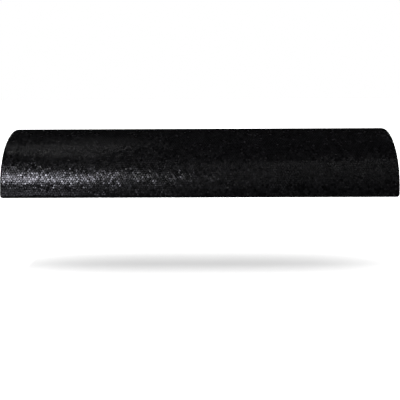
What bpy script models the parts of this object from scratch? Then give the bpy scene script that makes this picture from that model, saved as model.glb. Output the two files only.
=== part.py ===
# Half round foam roller: a moulded foam body, flat underneath and half round on top.
# Metres, +Z up. The roller lies on its flat face along X, and the origin is the middle of that face.
# The firm core fills a dense skin, which is a curved shell with three flat faces set into it.

import math

import bmesh
import bpy
from mathutils import Matrix

COLLECTION = "half_round_foam_roller"

# The whole roller
LENGTH = 0.457
WIDTH = 0.148
EDGE_RADIUS = 0.003

# The skin, and the core inside it
SKIN_THICKNESS = 0.002
CORE_EDGE_RADIUS = 0.001
GAP = 0.0003

# The rim of curved skin round each flat face, measured in from the outside of the roller
RIM_WIDTH = 0.004

# How finely the round shapes are cut, how far a cutter runs past what it cuts,
# and how close to a cutting plane a point counts as lying on it
ARC_SEGMENTS = 48
EDGE_SEGMENTS = 4
OVERRUN = 0.005
TOUCH = 0.00001

# Colour, roughness and metallic value
SKIN_FINISH = ((0.012, 0.012, 0.013, 1.0), 0.42, 0.0)
CORE_FINISH = ((0.020, 0.020, 0.021, 1.0), 0.85, 0.0)

radius = WIDTH / 2
core_inset = SKIN_THICKNESS + GAP
face_inset = RIM_WIDTH + GAP


def clear_scene():
    for old in list(bpy.data.objects):
        bpy.data.objects.remove(old, do_unlink=True)


def new_collection(name):
    made = bpy.data.collections.new(name)
    bpy.context.scene.collection.children.link(made)
    return made


def new_material(name, finish):
    colour, roughness, metallic = finish
    material = bpy.data.materials.new(name)
    material.use_nodes = True
    shader = material.node_tree.nodes["Principled BSDF"]
    shader.inputs["Base Color"].default_value = colour
    shader.inputs["Roughness"].default_value = roughness
    shader.inputs["Metallic"].default_value = metallic
    material.diffuse_color = colour
    return material


def new_object(name, bm, collection):
    mesh = bpy.data.meshes.new(name)
    bmesh.ops.recalc_face_normals(bm, faces=bm.faces)
    bm.to_mesh(mesh)
    bm.free()
    made = bpy.data.objects.new(name, mesh)
    collection.objects.link(made)
    return made


def half_round(name, round_radius, length, floor, collection):
    """A bar along X: the part above floor of a cylinder whose axis is the X axis."""
    bm = bmesh.new()
    bmesh.ops.create_cone(
        bm,
        cap_ends=True,
        segments=2 * ARC_SEGMENTS,
        radius1=round_radius,
        radius2=round_radius,
        depth=length,
        matrix=Matrix.Rotation(math.radians(90), 4, "Y"),
    )
    cut = bmesh.ops.bisect_plane(
        bm,
        geom=bm.verts[:] + bm.edges[:] + bm.faces[:],
        dist=TOUCH,
        plane_co=(0, 0, floor),
        plane_no=(0, 0, -1),
        clear_outer=True,
    )
    edges = [piece for piece in cut["geom_cut"] if isinstance(piece, bmesh.types.BMEdge)]
    bmesh.ops.edgeloop_fill(bm, edges=edges)
    return new_object(name, bm, collection)


def slab(name, size, low_z, collection):
    """A box of this size, centred on the Z axis, with its underside at low_z."""
    bm = bmesh.new()
    bmesh.ops.create_cube(bm, size=1)
    bmesh.ops.scale(bm, vec=size, verts=bm.verts)
    bmesh.ops.translate(bm, vec=(0, 0, low_z + size[2] / 2), verts=bm.verts)
    return new_object(name, bm, collection)


def round_edges(part, edge_radius):
    bevel = part.modifiers.new("rounded_edges", "BEVEL")
    bevel.width = edge_radius
    bevel.segments = EDGE_SEGMENTS
    bevel.use_clamp_overlap = False
    bevel.limit_method = "ANGLE"
    bevel.angle_limit = math.radians(40)


def cut_away(part, cutter):
    cutter.hide_render = True
    cutter.display_type = "WIRE"
    cut = part.modifiers.new(cutter.name, "BOOLEAN")
    cut.operation = "DIFFERENCE"
    cut.solver = "EXACT"
    cut.object = cutter


def finish(part, material):
    part.data.materials.append(material)
    part.data.shade_smooth()
    part.data.set_sharp_from_angle(angle=math.radians(30))


def make_core(parts, material):
    core = half_round("foam_core", radius - core_inset, LENGTH - 2 * core_inset, core_inset, parts)
    round_edges(core, CORE_EDGE_RADIUS)
    finish(core, material)


def make_curved_skin(parts, cutters, material):
    """The half round shell, with a rim that turns in round the base and round both ends."""
    skin = half_round("curved_skin", radius, LENGTH, 0, parts)
    round_edges(skin, EDGE_RADIUS)
    room_for_core = half_round(
        "room_for_core",
        radius - SKIN_THICKNESS,
        LENGTH - 2 * SKIN_THICKNESS,
        SKIN_THICKNESS,
        cutters,
    )
    end_openings = half_round(
        "end_openings", radius - RIM_WIDTH, LENGTH + 2 * OVERRUN, RIM_WIDTH, cutters
    )
    base_opening = slab(
        "base_opening",
        (LENGTH - 2 * RIM_WIDTH, WIDTH - 2 * RIM_WIDTH, SKIN_THICKNESS + 2 * OVERRUN),
        -OVERRUN,
        cutters,
    )
    for cutter in (room_for_core, end_openings, base_opening):
        cut_away(skin, cutter)
    finish(skin, material)


def make_base_skin(parts, material):
    size = (LENGTH - 2 * face_inset, WIDTH - 2 * face_inset, SKIN_THICKNESS)
    finish(slab("base_skin", size, 0, parts), material)


def make_end_skin(name, side, parts, material):
    """A flat half disc in the rim at one end. side is -1 for the left end and 1 for the right."""
    skin = half_round(name, radius - face_inset, SKIN_THICKNESS, face_inset, parts)
    skin.location.x = side * (LENGTH - SKIN_THICKNESS) / 2
    finish(skin, material)


def main():
    clear_scene()
    parts = new_collection(COLLECTION)
    cutters = new_collection("cutters")
    skin_material = new_material("moulded_skin_black", SKIN_FINISH)
    core_material = new_material("foam_core_black", CORE_FINISH)
    make_core(parts, core_material)
    make_curved_skin(parts, cutters, skin_material)
    make_base_skin(parts, skin_material)
    make_end_skin("left_end_skin", -1, parts, skin_material)
    make_end_skin("right_end_skin", 1, parts, skin_material)


main()
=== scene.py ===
import math

import bmesh
import bpy
import numpy as np
from mathutils import Matrix, Vector, noise
from mathutils.geometry import delaunay_2d_cdt


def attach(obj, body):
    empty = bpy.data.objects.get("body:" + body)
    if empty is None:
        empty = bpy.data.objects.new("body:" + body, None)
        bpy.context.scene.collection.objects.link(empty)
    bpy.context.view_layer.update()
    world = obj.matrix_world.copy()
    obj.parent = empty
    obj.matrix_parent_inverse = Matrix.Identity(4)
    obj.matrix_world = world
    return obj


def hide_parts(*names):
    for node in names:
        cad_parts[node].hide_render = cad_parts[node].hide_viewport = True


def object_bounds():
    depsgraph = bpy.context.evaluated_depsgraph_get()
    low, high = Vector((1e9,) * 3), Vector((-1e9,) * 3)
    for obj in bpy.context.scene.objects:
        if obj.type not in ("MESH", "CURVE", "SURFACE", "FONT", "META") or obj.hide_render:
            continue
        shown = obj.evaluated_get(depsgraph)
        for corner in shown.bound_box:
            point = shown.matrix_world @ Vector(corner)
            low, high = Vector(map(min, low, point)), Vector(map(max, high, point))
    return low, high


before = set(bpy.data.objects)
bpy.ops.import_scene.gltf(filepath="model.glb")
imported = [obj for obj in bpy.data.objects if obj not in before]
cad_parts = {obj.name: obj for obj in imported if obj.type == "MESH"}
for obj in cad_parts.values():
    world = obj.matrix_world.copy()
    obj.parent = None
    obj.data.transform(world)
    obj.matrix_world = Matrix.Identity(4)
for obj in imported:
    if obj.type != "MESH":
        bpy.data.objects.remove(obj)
cadLow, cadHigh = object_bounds()
mm = 0.001
print("frame loaded")


# The moulded shape

roller = {
    "length": cadHigh.x - cadLow.x,
    "radius": cadHigh.z - cadLow.z,
    "edgeRadius": 3 * mm,       # rounding along every edge
    "skin": 2 * mm,             # thickness of the dense skin
    "endTurn": math.radians(86),  # how far the skin turns over the ends before the end skins take over
    "seam": 0.13 * mm,          # hairline between one skin and the next
}

spineRadius = roller["radius"] - roller["edgeRadius"]
# Angle of the base edge's centre above the base
cornerLift = math.asin(roller["edgeRadius"] / spineRadius)
halfBase = spineRadius * math.cos(cornerLift)
halfStraight = roller["length"] / 2 - roller["edgeRadius"]
edgeArc = roller["edgeRadius"] * (math.pi / 2 + cornerLift)
roundArc = roller["radius"] * (math.pi - 2 * cornerLift)
# Distances round the section from the base's back edge, and the way that the surface faces there
stations = np.cumsum([-halfBase, 2 * halfBase, edgeArc, roundArc, edgeArc])
facings = np.array([1.5 * math.pi, 1.5 * math.pi, math.pi - cornerLift, cornerLift, -0.5 * math.pi])


def bendRound(along, around, height):
    # Along the roller, round its section and up from its surface, to x, y and z
    facing = np.interp(around, stations, facings)
    onRound = (around > stations[2]) & (around < stations[3])
    flatY = np.interp(around, stations, [halfBase, -halfBase, -halfBase, halfBase, halfBase])
    spineY = np.where(onRound, spineRadius * np.cos(facing), flatY)
    spineZ = np.where(onRound, spineRadius * np.sin(facing), roller["edgeRadius"])
    over = np.sign(along) * np.clip(np.abs(along) - halfStraight, 0, None) / roller["edgeRadius"]
    reach = roller["edgeRadius"] + height
    return np.stack([
        np.clip(along, -halfStraight, halfStraight) + reach * np.sin(over),
        spineY + reach * np.cos(over) * np.cos(facing),
        spineZ + reach * np.cos(over) * np.sin(facing),
    ], axis=1)


def endPlane(side):
    # Across the end, up it and out of it, to x, y and z
    def place(across, up, height):
        return np.stack([side * (roller["length"] / 2 + height), side * across, up], axis=1)
    return place


def rectangle(low, high):
    return [low, (high[0], low[1]), high, (low[0], high[1])]


def halfDisc(inset, steps=64):
    # The end's outline, drawn in from the outside of the roller
    reach = roller["radius"] - inset
    start = math.asin(inset / reach)
    turns = np.linspace(start, math.pi - start, steps + 1)
    return [(reach * math.cos(t), reach * math.sin(t)) for t in turns]


# The beads

def scatterBeads(outline, beads, rng):
    # Beads packed in offset rows, each pushed a little out of place, kept inside the outline
    pitch, jitter = beads["pitch"], beads["jitter"]
    points = np.array(outline)
    low, high = points.min(axis=0), points.max(axis=0)
    columns = max(2, round((high[0] - low[0]) / pitch))
    rows = max(2, round((high[1] - low[1]) / (pitch * math.sin(math.pi / 3))))
    step = (high - low) / (columns, rows)
    seeds = []
    for row in range(rows):
        for column in range(columns + row % 2):
            shift = 0.5 - 0.5 * (row % 2)
            seeds.append(low + step * (column + shift, row + 0.5))
    seeds = np.array(seeds) + rng.uniform(-jitter, jitter, (len(seeds), 2)) * pitch
    for start, end in zip(points, np.roll(points, -1, axis=0)):
        ahead = (end - start) / np.linalg.norm(end - start)
        inside = (seeds - start) @ np.array([-ahead[1], ahead[0]])
        seeds = seeds[inside > beads["margin"] * pitch]
    return seeds


def mirrorBeads(seeds, outline, reach, spare=0.02):
    # Copies of the outer beads on the far side of each edge, so that the cells stop at the outline;
    # spare is how far past an edge's ends, in edge lengths, a bead may still be copied
    points = np.array(outline)
    copies = []
    for start, end in zip(points, np.roll(points, -1, axis=0)):
        span = np.linalg.norm(end - start)
        ahead = (end - start) / span
        inward = np.array([-ahead[1], ahead[0]])
        depth = (seeds - start) @ inward
        foot = (seeds - start) @ ahead
        near = (depth < reach) & (foot > -spare * span) & (foot < (1 + spare) * span)
        copies.append(seeds[near] - 2 * depth[near, None] * inward)
    return np.vstack(copies)


def circleCentres(a, b, c):
    # The point as far from all three corners, for each triangle
    ab, ac = b - a, c - a
    cross = 2 * (ab[:, 0] * ac[:, 1] - ab[:, 1] * ac[:, 0])
    cross[np.abs(cross) < 1e-12] = 1e-12
    squareB, squareC = (ab ** 2).sum(axis=1), (ac ** 2).sum(axis=1)
    x = (ac[:, 1] * squareB - ab[:, 1] * squareC) / cross
    y = (ab[:, 0] * squareC - ac[:, 0] * squareB) / cross
    return a + np.stack([x, y], axis=1)


def beadCells(seeds, outline, beads):
    # One flat cell for each bead, as a bmesh whose faces meet along the grooves
    ghosts = mirrorBeads(seeds, outline, 2.5 * beads["pitch"])  # enough to close every outer cell
    points = np.vstack([seeds, ghosts])
    flat = delaunay_2d_cdt([tuple(p) for p in points], [], [], 0, 1e-9)[2]
    triangles = np.array(flat)
    centres = circleCentres(*(points[triangles[:, k]] for k in range(3)))
    owner = triangles.ravel()
    cell = np.repeat(np.arange(len(triangles)), 3)
    real = owner < len(seeds)
    owner, cell = owner[real], cell[real]
    spoke = centres[cell] - points[owner]
    order = np.lexsort((np.arctan2(spoke[:, 1], spoke[:, 0]), owner))
    owner, cell = owner[order], cell[order]
    bm = bmesh.new()
    corner = {int(k): bm.verts.new((*centres[k], 0)) for k in np.unique(cell)}
    for ring in np.split(cell, np.flatnonzero(np.diff(owner)) + 1):
        bm.faces.new([corner[int(k)] for k in ring])
    bmesh.ops.remove_doubles(bm, verts=bm.verts[:], dist=beads["shortest"] * beads["pitch"])
    return bm


def raiseBeads(bm, beads, rng):
    # Each cell gets a groove round it, a shoulder and a crown, and leans a little
    groove = bm.verts.layers.float.new("groove")
    tone = bm.verts.layers.float.new("tone")
    for v in bm.verts:
        v[groove] = 1
        v[tone] = 0.5
        v.co.z = -beads["groove"] * rng.uniform(*beads["grooveSpread"])
    cells = bm.faces[:]
    bmesh.ops.inset_individual(bm, faces=cells, thickness=0)
    for face in cells:
        for e in face.edges:
            e.smooth = False
    drops = []
    for face in cells:
        middle = face.calc_center_median()
        lean = Vector((*rng.normal(0, beads["lean"], 2), 0))
        drops.append(rng.uniform(0, beads["uneven"]))
        shade = rng.uniform(0, 1)
        share = rng.uniform(*beads["flatShare"])
        for v in face.verts:
            out = (v.co - middle) * share
            v.co.xy = (middle + out).xy
            v.co.z = -beads["crown"] - beads["dome"] - drops[-1] + lean.dot(out)
            v[groove] = 0
            v[tone] = shade
    crowns = bmesh.ops.poke(bm, faces=cells)["verts"]
    for top, drop in zip(crowns, drops):
        top.co.z = -beads["crown"] - drop
        top[groove] = 0
        top[tone] = top.link_edges[0].other_vert(top)[tone]
    for v in bm.verts:
        v.co.z = min(v.co.z, -beads["crown"])


def closeBack(bm, thickness, spacing, margin=0.3):
    # Walls down the outline, and a plain back that bends with the sheet; margin is how far the
    # back's inner points keep from the outline, as a share of their spacing
    rim = [e for e in bm.edges if e.is_boundary]
    for e in rim:
        e.smooth = False
    low = bmesh.ops.extrude_edge_only(bm, edges=rim)["geom"]
    back = [v for v in low if isinstance(v, bmesh.types.BMVert)]
    for v in back:
        v.co.z = -thickness
    backEdges = [e for e in low if isinstance(e, bmesh.types.BMEdge)]
    for e in backEdges:
        e.smooth = False
    index = {v: k for k, v in enumerate(back)}
    flat = [tuple(v.co.xy) for v in back]
    corners = np.array(flat)
    lowest, highest = corners.min(axis=0), corners.max(axis=0)
    counts = np.maximum(2, np.ceil((highest - lowest) / spacing)).astype(int)
    loop = walkLoop(backEdges)
    extra = []
    for a in np.linspace(lowest[0], highest[0], counts[0] + 1)[1:-1]:
        for b in np.linspace(lowest[1], highest[1], counts[1] + 1)[1:-1]:
            if deepInside((a, b), [flat[index[v]] for v in loop], margin * min(spacing)):
                extra.append((a, b))
    made, _, faces, sources, _, _ = delaunay_2d_cdt(
        flat + extra, [], [[index[v] for v in loop]], 1, 1e-9)
    verts = []
    for place, source in zip(made, sources):
        known = source and source[0] < len(back)
        verts.append(back[source[0]] if known else bm.verts.new((*place, -thickness)))
    for face in faces:
        bm.faces.new([verts[k] for k in reversed(face)])


def walkLoop(edges):
    # The verts of one closed chain of edges, in order and anticlockwise
    links = {}
    for e in edges:
        for v in e.verts:
            links.setdefault(v, []).append(e.other_vert(v))
    first = edges[0].verts[0]
    loop, last = [first], None
    while True:
        ahead = [v for v in links[loop[-1]] if v is not last][0]
        if ahead is first:
            break
        last = loop[-1]
        loop.append(ahead)
    area = sum(a.co.x * b.co.y - b.co.x * a.co.y for a, b in zip(loop, loop[1:] + loop[:1]))
    return loop if area > 0 else loop[::-1]


def deepInside(point, outline, margin):
    # The outlines are convex, so a point is inside when it lies left of every edge
    corners = np.array(outline)
    ahead = np.roll(corners, -1, axis=0) - corners
    offset = np.array(point) - corners
    lengths = np.linalg.norm(ahead, axis=1)
    return bool(((ahead[:, 0] * offset[:, 1] - ahead[:, 1] * offset[:, 0]) > margin * lengths).all())


def beadSheet(name, outline, place, beads):
    # One skin: its beads are laid out flat, raised, backed and then put in place
    rng = np.random.default_rng(beads["seed"])
    seeds = scatterBeads(outline, beads, rng)
    bm = beadCells(seeds, outline, beads)
    raiseBeads(bm, beads, rng)
    closeBack(bm, roller["skin"], beads["backSpacing"])
    bmesh.ops.recalc_face_normals(bm, faces=bm.faces[:])
    bmesh.ops.triangulate(bm, faces=bm.faces[:])
    mesh = bpy.data.meshes.new(name)
    bm.to_mesh(mesh)
    bm.free()
    flat = np.empty(len(mesh.vertices) * 3)
    mesh.vertices.foreach_get("co", flat)
    flat = flat.reshape(-1, 3)
    spreadMap(mesh, flat)
    mesh.vertices.foreach_set("co", place(*flat.T).ravel())
    mesh.update()
    piece = bpy.data.objects.new(name, mesh)
    bpy.context.scene.collection.objects.link(piece)
    print(name, len(seeds), "beads,", len(mesh.polygons), "triangles")
    return piece


def spreadMap(mesh, flat):
    # The flat sheet is its own map: the front fills most of it and the back a strip beside it
    across, front, back, edge, backFoot = 0.99, 0.9, 0.07, 0.005, 0.92
    low, high = flat[:, :2].min(axis=0), flat[:, :2].max(axis=0)
    share = (flat[:, :2] - low) / (high - low)
    layer = mesh.uv_layers.new(name="OFBake")
    corners = np.empty(len(mesh.loops), dtype=int)
    mesh.loops.foreach_get("vertex_index", corners)
    deep = flat[:, 2] < -0.75 * roller["skin"]  # the grooves end well above this
    behind = deep[corners].reshape(-1, 3).any(axis=1).repeat(3)
    uv = share[corners] * (across, front) + edge
    uv[behind] = share[corners][behind] * (across, back) + (edge, backFoot)
    layer.data.foreach_set("uv", uv.ravel())


# Shader graphs

class Wire:
    # A shader value that can be added, subtracted and multiplied
    def __init__(self, graph, socket):
        self.graph, self.socket = graph, socket

    def maths(self, operation, first, second):
        sockets = {"Value": first, "Value_001": second}
        return self.graph.add("Math", {"operation": operation}, sockets)

    def __add__(self, other):
        return self.maths("ADD", self, other)

    def __radd__(self, other):
        return self.maths("ADD", other, self)

    def __sub__(self, other):
        return self.maths("SUBTRACT", self, other)

    def __rsub__(self, other):
        return self.maths("SUBTRACT", other, self)

    def __mul__(self, other):
        return self.maths("MULTIPLY", self, other)

    def __rmul__(self, other):
        return self.maths("MULTIPLY", other, self)


class Graph:
    # A material's or world's node tree, emptied and filled one node at a time
    def __init__(self, tree):
        self.tree = tree
        tree.nodes.clear()

    def add(self, kind, settings=None, sockets=None, output=0):
        node = self.tree.nodes.new("ShaderNode" + kind)
        for key, value in (settings or {}).items():
            setattr(node, key, value)
        for key, value in (sockets or {}).items():
            socket = next(s for s in node.inputs if key in (s.identifier, s.name) and s.enabled)
            if isinstance(value, Wire):
                self.tree.links.new(value.socket, socket)
            else:
                socket.default_value = value
        return Wire(self, node.outputs[output]) if node.outputs else node


def newMaterial(name):
    material = bpy.data.materials.new(name)
    material.use_nodes = True
    return material, Graph(material.node_tree)


def beadFinish(name, finish):
    # Fused beads: each a slightly different black and gloss; the gaps are rougher, with painted shade
    # in them: a darker colour and a turned-down reflection
    material, graph = newMaterial(name)
    where = graph.add("TexCoord", output=3)
    groove = graph.add("Attribute", {"attribute_name": "groove"}, output=2)
    tone = graph.add("Attribute", {"attribute_name": "tone"}, output=2)
    patches = graph.add("TexNoise", sockets={
        "Vector": where, "Scale": 1 / finish["patchSize"], "Detail": 3.0, "Roughness": 0.6})
    grain = graph.add("TexNoise", sockets={
        "Vector": where, "Scale": 1 / finish["grainSize"], "Detail": 3.0, "Roughness": 0.55})
    clumps = graph.add("TexNoise", sockets={
        "Vector": where, "Scale": 1 / finish["clumpSize"], "Detail": 1.0})
    clump = graph.add("Clamp", sockets={"Value": (clumps - 0.5) * finish["clumpEdge"] + 0.5})
    shade = graph.add("Mix", {"data_type": "RGBA"}, {
        "Factor_Float": tone * (1 - finish["clumpShare"]) + clump * finish["clumpShare"],
        "A_Color": (*finish["darkest"], 1), "B_Color": (*finish["palest"], 1)}, output=2)
    # painted shade: the colour is darkened towards black down each groove, where shade falls between
    # the beads
    colour = graph.add("Mix", {"data_type": "RGBA"}, {
        "Factor_Float": groove * finish["paintedGrooveShade"],
        "A_Color": shade, "B_Color": (0, 0, 0, 1)}, output=2)
    roughness = (finish["roughness"] + (tone - 0.5) * finish["beadRoughness"]
                 + (patches - 0.5) * finish["patchRoughness"] + groove * finish["grooveRoughness"])
    surface = graph.add("Bump", sockets={
        "Strength": 1.0, "Distance": finish["grainHeight"], "Height": grain})
    shader = graph.add("BsdfPrincipled", sockets={
        "Base Color": colour, "Roughness": roughness, "Normal": surface,
        "IOR": finish["ior"]})
    # the gaps' shader: rough, and with its reflection turned down as painted shade
    gap = graph.add("BsdfPrincipled", sockets={
        "Base Color": colour, "Roughness": finish["gapRoughness"],
        "Specular IOR Level": finish["gapShadeGloss"]})
    walls = graph.add("Clamp", sockets={"Value": groove * finish["gapReach"]})
    both = graph.add("MixShader", sockets={
        "Fac": walls, "Shader": shader, "Shader_001": gap})
    graph.add("OutputMaterial", sockets={"Surface": both})
    return material


skinFinish = {
    "darkest": (0.0025, 0.0025, 0.0027),
    "palest": (0.0170, 0.0170, 0.0175),
    "clumpSize": 4.5 * mm,      # beads of one shade tend to lie together
    "clumpEdge": 5.0,           # how sharply one clump's shade gives way to the next
    "clumpShare": 0.15,         # how much of a bead's shade is its clump's, the rest being its own
    # painted shade: how far the colour goes towards black at the bottom of a groove
    "paintedGrooveShade": 0.5,
    "roughness": 0.21,
    "beadRoughness": 0.14,      # spread from bead to bead
    "patchRoughness": 0.05,     # spread from one patch of the skin to another
    "grooveRoughness": 0.3,
    "gapReach": 5.0,            # the gaps' dull finish, rougher and with painted shade in its turned-down reflection, is complete a fifth of the way down them
    "gapRoughness": 0.8,
    # painted shade: the reflection left in the gaps
    "gapShadeGloss": 0.05,
    "patchSize": 35 * mm,
    "grainSize": 0.5 * mm,
    "grainHeight": 0.004 * mm,
    "ior": 1.5,
}
# the core keeps the skin's painted shade down its dents
coreFinish = {
    **skinFinish,
    "darkest": (0.006, 0.006, 0.0065),
    "palest": (0.032, 0.032, 0.033),
    "roughness": 0.75,
    "grooveRoughness": 0.1,
}
skinMaterial = beadFinish("moulded bead skin", skinFinish)
coreMaterial = beadFinish("bead foam core", coreFinish)
print("materials made")


# The pieces

skinBeads = {
    "pitch": 2.9 * mm,          # from one bead to the next
    "jitter": 0.20,             # share of the pitch that a bead is pushed out of place
    "crown": 0.06 * mm,         # how far the highest crowns stay inside the moulded size
    "dome": 0.02 * mm,          # from the shoulder up to the crown
    "groove": 0.50 * mm,
    "grooveSpread": (0.8, 1.1),
    "margin": 0.3,              # the nearest that a bead's middle comes to the outline, in pitches
    "shortest": 0.06,           # cell edges shorter than this, in pitches, are closed up
    "flatShare": (0.72, 0.84),  # share of a bead's width inside its shoulder
    "lean": 0.050,              # slope of a bead's top, as a standard deviation
    "uneven": 0.05 * mm,        # how much lower one crown is than another
}
# Each skin's own draw of beads, and how coarsely its back is meshed, along and across
curvedSkin = {**skinBeads, "seed": 11, "backSpacing": (2.0 * mm, 3.0 * mm)}
baseSkin = {**skinBeads, "seed": 12, "backSpacing": (2.0 * mm, 12.0 * mm)}
leftEndSkin = {**skinBeads, "seed": 12, "backSpacing": (10.0 * mm, 10.0 * mm)}
rightEndSkin = {**leftEndSkin, "seed": 14}

skinTop = stations[4] - roller["seam"] / 2
skinAlong = halfStraight + roller["edgeRadius"] * roller["endTurn"]
skinLow = stations[1] + roller["seam"] / 2
curved = beadSheet(
    "curvedSkin", rectangle((-skinAlong, skinLow), (skinAlong, skinTop)), bendRound, curvedSkin)

baseHalf = halfBase - roller["seam"] / 2
base = beadSheet(
    "baseSkin", rectangle((-skinAlong, -baseHalf), (skinAlong, baseHalf)), bendRound, baseSkin)

endInset = roller["edgeRadius"] * (1 - math.cos(roller["endTurn"])) + roller["seam"]
leftEnd = beadSheet("leftEndSkin", halfDisc(endInset), endPlane(-1), leftEndSkin)
rightEnd = beadSheet("rightEndSkin", halfDisc(endInset), endPlane(1), rightEndSkin)

coreFoam = {
    "clear": 0.4 * mm,          # kept free under the skins
    "mesh": 1.8 * mm,
    "beadSize": 4.5 * mm,
    "dent": 0.6 * mm,           # depth between two beads
    "rim": 0.4,                 # share of a bead that slopes into the dent
    "toneMix": Vector((40, 80, 120)),  # turns a bead's place into its shade
}
coreMap = {                     # shares of the map, from its left or its foot
    "along": (0.5, 0.495),      # middle and half length of the side and of the base
    "side": (0.28, 0.48),       # foot and height
    "base": (0.13, 0.12),       # middle and half height
    "ends": (0.25, 0.75),       # middles of the two ends
    "endWidth": 0.24,           # half the width of each
    "endUp": (0.78, 0.21),      # foot and height
}


def foamSolid(name, foam):
    # The half round block inside the skins, evenly meshed, then dented between its beads
    inset = roller["skin"] + foam["clear"]
    reach = roller["length"] / 2 - inset
    outline = halfDisc(inset, steps=96)
    bm = bmesh.new()
    near, far = ([bm.verts.new((side * reach, y, z)) for y, z in outline] for side in (-1, 1))
    bm.faces.new(near)
    bm.faces.new(list(reversed(far)))
    for a, b, c, d in zip(near, near[1:] + near[:1], far[1:] + far[:1], far):
        bm.faces.new([b, a, d, c])
    bmesh.ops.recalc_face_normals(bm, faces=bm.faces[:])
    block = bpy.data.meshes.new(name)
    bm.to_mesh(block)
    bm.free()
    piece = bpy.data.objects.new(name, block)
    bpy.context.scene.collection.objects.link(piece)
    even = piece.modifiers.new("even mesh", "REMESH")
    even.mode = "VOXEL"
    even.voxel_size = foam["mesh"]
    bpy.context.view_layer.update()
    meshed = piece.evaluated_get(bpy.context.evaluated_depsgraph_get())
    mesh = bpy.data.meshes.new_from_object(meshed)
    piece.modifiers.clear()
    piece.data = mesh
    mesh.name = name
    groove = mesh.attributes.new("groove", "FLOAT", "POINT").data
    tone = mesh.attributes.new("tone", "FLOAT", "POINT").data
    moved = []
    for v in mesh.vertices:
        gaps, middles = noise.voronoi(v.co / foam["beadSize"])
        depth = max(0.0, 1 - (gaps[1] - gaps[0]) / foam["rim"])
        groove[v.index].value = depth
        tone[v.index].value = 0.5 + 0.5 * math.sin(middles[0].dot(foam["toneMix"]))
        moved.append(v.co - v.normal * depth * foam["dent"])
    for v, place in zip(mesh.vertices, moved):
        v.co = place
    wrapMap(mesh, reach, inset)
    print(name, len(mesh.polygons), "faces")
    return piece


def wrapMap(mesh, reach, inset):
    # Map in four parts: the round side unrolled, the base below it and the two ends at the top;
    # a face is part of an end or of the base when it lies within two dents of it
    corners = np.empty(len(mesh.loops), dtype=int)
    mesh.loops.foreach_get("vertex_index", corners)
    places = np.empty(len(mesh.vertices) * 3)
    mesh.vertices.foreach_get("co", places)
    x, y, z = places.reshape(-1, 3)[corners].T
    owner = np.repeat(np.arange(len(mesh.polygons)), [len(f.vertices) for f in mesh.polygons])
    count = np.bincount(owner)
    middleX, middleZ = (np.bincount(owner, v) / count for v in (x, z))
    onEnd = (np.abs(middleX) > reach - 2 * coreFoam["dent"])[owner]
    onBase = (middleZ < inset + 2 * coreFoam["dent"])[owner] & ~onEnd
    across, up = y / roller["radius"], z / roller["radius"]
    turn = np.arctan2(z, y) / math.pi
    (middle, half), (foot, height) = coreMap["along"], coreMap["side"]
    along = x / reach * half + middle
    uv = np.stack([along, foot + height * turn], axis=1)
    middle, half = coreMap["base"]
    uv[onBase] = np.stack([along, middle + across * half], axis=1)[onBase]
    (left, right), (foot, height) = coreMap["ends"], coreMap["endUp"]
    sideways = np.where(x > 0, right, left) + across * coreMap["endWidth"]
    uv[onEnd] = np.stack([sideways, foot + up * height], axis=1)[onEnd]
    mesh.uv_layers.new(name="OFBake").data.foreach_set("uv", uv.ravel())


core = foamSolid("foamCore", coreFoam)

for piece, node, slot, material in (
        (curved, "curved_skin", "moulded_skin", skinMaterial),
        (base, "base_skin", "moulded_skin", skinMaterial),
        (leftEnd, "left_end_skin", "moulded_skin", skinMaterial),
        (rightEnd, "right_end_skin", "moulded_skin", skinMaterial),
        (core, "foam_core", "foam_core", coreMaterial)):
    piece.data.materials.append(material)
    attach(piece, "root")
    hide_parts(node)
print("pieces made")


# The studio

studio = {
    "hover": 96.0 * mm,         # the roller is shown this far above the floor
    "white": (1, 1, 1, 1),
    "dark": (0.003, 0.003, 0.003, 1),
    "keyTint": (0.985, 0.975, 1.10),  # the brightest lights are a little blue
    "lightAway": 1.7,           # metres from the roller to each softbox
    "spotSize": 4,              # degrees across one square of a row
    "glowPower": 4,             # watts from a square metre of softbox at glow 1
    "floorHalf": 12.0,          # metres from the floor's middle to its edges
    "floorGlow": 0.665,
    "floorShade": 0.8,
    "ceiling": 30.0,            # height in metres of the lights that cast the floor shadow
}


def makeCamera(spec):
    # Turned round the upright axis, tipped down, then rolled
    yaw, down, roll = spec["yaw"], spec["down"], spec["roll"]
    ahead = Vector((math.sin(yaw) * math.cos(down), math.cos(yaw) * math.cos(down), -math.sin(down)))
    right = Vector((math.cos(yaw), -math.sin(yaw), 0))
    up = right.cross(ahead)
    across = math.cos(roll) * right + math.sin(roll) * up
    above = math.cos(roll) * up - math.sin(roll) * right
    lens = bpy.data.cameras.new("camera")
    lens.sensor_width = spec["sensor"]
    lens.lens = spec["lens"]
    camera = bpy.data.objects.new("camera", lens)
    camera.matrix_world = (Matrix.Translation(spec["place"])
                           @ Matrix((across, above, -ahead)).transposed().to_4x4())
    bpy.context.scene.collection.objects.link(camera)
    bpy.context.scene.camera = camera


makeCamera({
    "place": (7.4 * mm, -740.6 * mm, 121.5 * mm),
    "yaw": -0.0098,
    "down": 0.1833,
    "roll": -0.0049,
    "lens": 53.54,
    "sensor": 36.0,
})

rollerGroup = bpy.data.collections.new("roller pieces")
for piece in (curved, base, leftEnd, rightEnd, core):
    rollerGroup.objects.link(piece)


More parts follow.
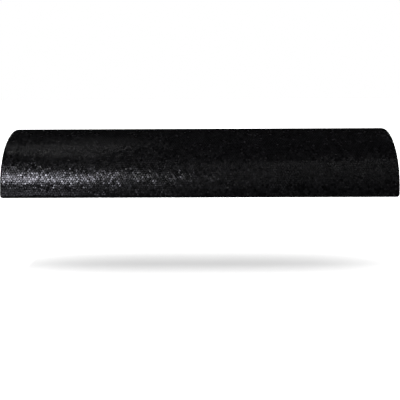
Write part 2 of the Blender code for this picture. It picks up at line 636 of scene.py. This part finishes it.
def softbox(name, turn, lift, width, height, glow, tint=(1, 1, 1)):
    # A glowing rectangle that faces the roller and lights only it; turn (from the front), lift,
    # width and height are degrees as seen from the roller, and glow is its brightness
    away, aim = studio["lightAway"], Vector((0, 0, roller["radius"] / 2))
    turn, lift = math.radians(turn), math.radians(lift)
    level = math.cos(lift)
    towards = Vector((math.sin(turn) * level, -math.cos(turn) * level, math.sin(lift)))
    lamp = bpy.data.lights.new(name, "AREA")
    lamp.shape = "RECTANGLE"
    lamp.size = 2 * away * math.tan(math.radians(width / 2)) * level
    lamp.size_y = 2 * away * math.tan(math.radians(height / 2))
    lamp.energy = glow * lamp.size * lamp.size_y * studio["glowPower"]
    lamp.color = tint
    light = bpy.data.objects.new(name, lamp)
    facing = towards.to_track_quat("Z", "Y").to_matrix().to_4x4()
    light.matrix_world = Matrix.Translation(aim + away * towards) @ facing
    light.visible_camera = False
    light.light_linking.receiver_collection = rollerGroup
    bpy.context.scene.collection.objects.link(light)


def spotlights(name, turn, lift, width, height, glow, count):
    # The light of a wide dim softbox gathered into a row of small squares, which pick out single beads
    side = studio["spotSize"]
    wide, high, small = (math.tan(math.radians(d / 2)) for d in (width, height, side))
    for k in range(count):
        across = turn + width * ((k + 0.5) / count - 0.5)
        softbox(f"{name} {k + 1}", across, lift, side, side, glow * wide * high / small ** 2 / count)


# name, turn, lift, width, height, glow, tint
for spec in (
        ("key left", -33, 22.5, 6, 10, 7.8, studio["keyTint"]),
        ("key middle", -27, 22.5, 6, 10, 18.4, studio["keyTint"]),
        ("key right", -21, 22.5, 6, 10, 8.8, studio["keyTint"]),
        ("above key left", -36, 31, 12, 6, 3.1, studio["keyTint"]),
        ("above key", -24, 31, 12, 6, 1.45, studio["keyTint"]),
        ("below key", -24, -3, 12, 8, 2.1, studio["keyTint"]),
        ("below key right", -12, -3, 12, 8, 0.23),
        ("low left", -60, 9, 12, 16, 1.5),
        ("overhead far left", -95, 68, 30, 12, 0.42),
        ("overhead back left", -129, 71, 40, 10, 0.15),
        ("crest left", -148, 62, 24, 12, 0.08),
        ("left end", -90, 3, 40, 20, 0.35),
        ("right end", 90, 3, 40, 20, 0.35),
        ("front left bounce", -45, -20, 24, 18, 0.8),
        ("front right bounce", 45, -20, 24, 18, 0.8),
        ("back left bounce", -135, -20, 24, 18, 0.8),
        ("back right bounce", 135, -20, 24, 18, 0.8),
        ("back left", -135, 26, 16, 12, 2.0),
        ("back right", 135, 26, 16, 12, 1.2),
):
    softbox(*spec)

# name, turn, lift, width, height, glow, count
for spec in (
        ("key spill", -15, 22.5, 6, 10, 0.66, 1),
        ("key edge", -9, 22.5, 6, 10, 0.78, 1),
        ("centre", 3, 22.5, 6, 10, 0.16, 1),
        ("above key right", -12, 31, 12, 6, 1.76, 1),
        ("higher left", -36, 38, 12, 12, 0.86, 1),
        ("higher", -24, 38, 12, 12, 0.13, 1),
        ("higher middle", -20, 50, 20, 14, 0.12, 1),
        ("low middle", -12, 9, 12, 12, 0.16, 1),
        ("low centre", 0, 9, 12, 12, 0.08, 1),
        ("upper left", -54, 66, 40, 16, 0.33, 2),
        ("overhead left", -90, 76, 60, 10, 0.28, 3),
        ("upper right", 18, 50, 50, 14, 0.19, 4),
        ("right", 18, 36, 36, 14, 0.15, 3),
        ("low right", 18, 22.5, 36, 10, 0.11, 3),
):
    spotlights(*spec)


def makeFloor():
    mesh = bpy.data.meshes.new("floor")
    half = studio["floorHalf"]
    corners = [(x * half, y * half, -studio["hover"]) for x, y in rectangle((-1, -1), (1, 1))]
    mesh.from_pydata(corners, [], [(0, 1, 2, 3)])
    floor = bpy.data.objects.new("floor", mesh)
    material, graph = newMaterial("pale floor")
    glow = graph.add("Emission", sockets={"Color": studio["white"], "Strength": studio["floorGlow"]})
    matte = graph.add("BsdfDiffuse", sockets={"Color": (*[studio["floorShade"]] * 3, 1)})
    both = graph.add("AddShader", sockets={"Shader": glow, "Shader_001": matte})
    graph.add("OutputMaterial", sockets={"Surface": both})
    mesh.materials.append(material)
    bpy.context.scene.collection.objects.link(floor)
    floor.visible_diffuse = False
    floor.visible_glossy = False
    floor.visible_shadow = False
    return floor


floor = makeFloor()
floorGroup = bpy.data.collections.new("floor only")
floorGroup.objects.link(floor)


def shadowPanel(name, middle, half, share):
    # A level panel far above that lights only the floor; middle and half are slopes seen from the
    # floor, across and back, and share is the brightness that it adds to the open floor
    across, back = (np.linspace(m - h, m + h, 81) for m, h in zip(middle, half))
    a, b = np.meshgrid(across, back)
    reach = float((1 / (1 + a ** 2 + b ** 2) ** 2).mean())  # how much of the light gets there
    lamp = bpy.data.lights.new(name, "AREA")
    lamp.shape = "RECTANGLE"
    lamp.size, lamp.size_y = (2 * h * studio["ceiling"] for h in half)
    lamp.energy = 4 * studio["ceiling"] ** 2 * share * math.pi / (studio["floorShade"] * reach)
    light = bpy.data.objects.new(name, lamp)
    light.location = (middle[0] * studio["ceiling"], middle[1] * studio["ceiling"], studio["ceiling"])
    light.visible_camera = False
    light.light_linking.receiver_collection = floorGroup
    bpy.context.scene.collection.objects.link(light)


shadowPanel("shadow strip", (-0.09, 0.107), (0.05, 0.69), 0.58)
shadowPanel("shadow panel", (0.11, 0.115), (1.77, 0.74), 0.50)
print("lights placed")


def makeWorld():
    # White behind the roller, dark in what it reflects
    world = bpy.data.worlds.new("studio")
    world.use_nodes = True
    graph = Graph(world.node_tree)
    seen = graph.add("LightPath", output=0)
    white = graph.add("Background", sockets={"Color": studio["white"], "Strength": 1.0})
    dark = graph.add("Background", sockets={"Color": studio["dark"], "Strength": 1.0})
    mixed = graph.add("MixShader", sockets={"Fac": seen, "Shader": dark, "Shader_001": white})
    graph.add("OutputWorld", sockets={"Surface": mixed})
    bpy.context.scene.world = world


makeWorld()
bpy.context.scene.view_settings.view_transform = "Standard"

print("scene ready")
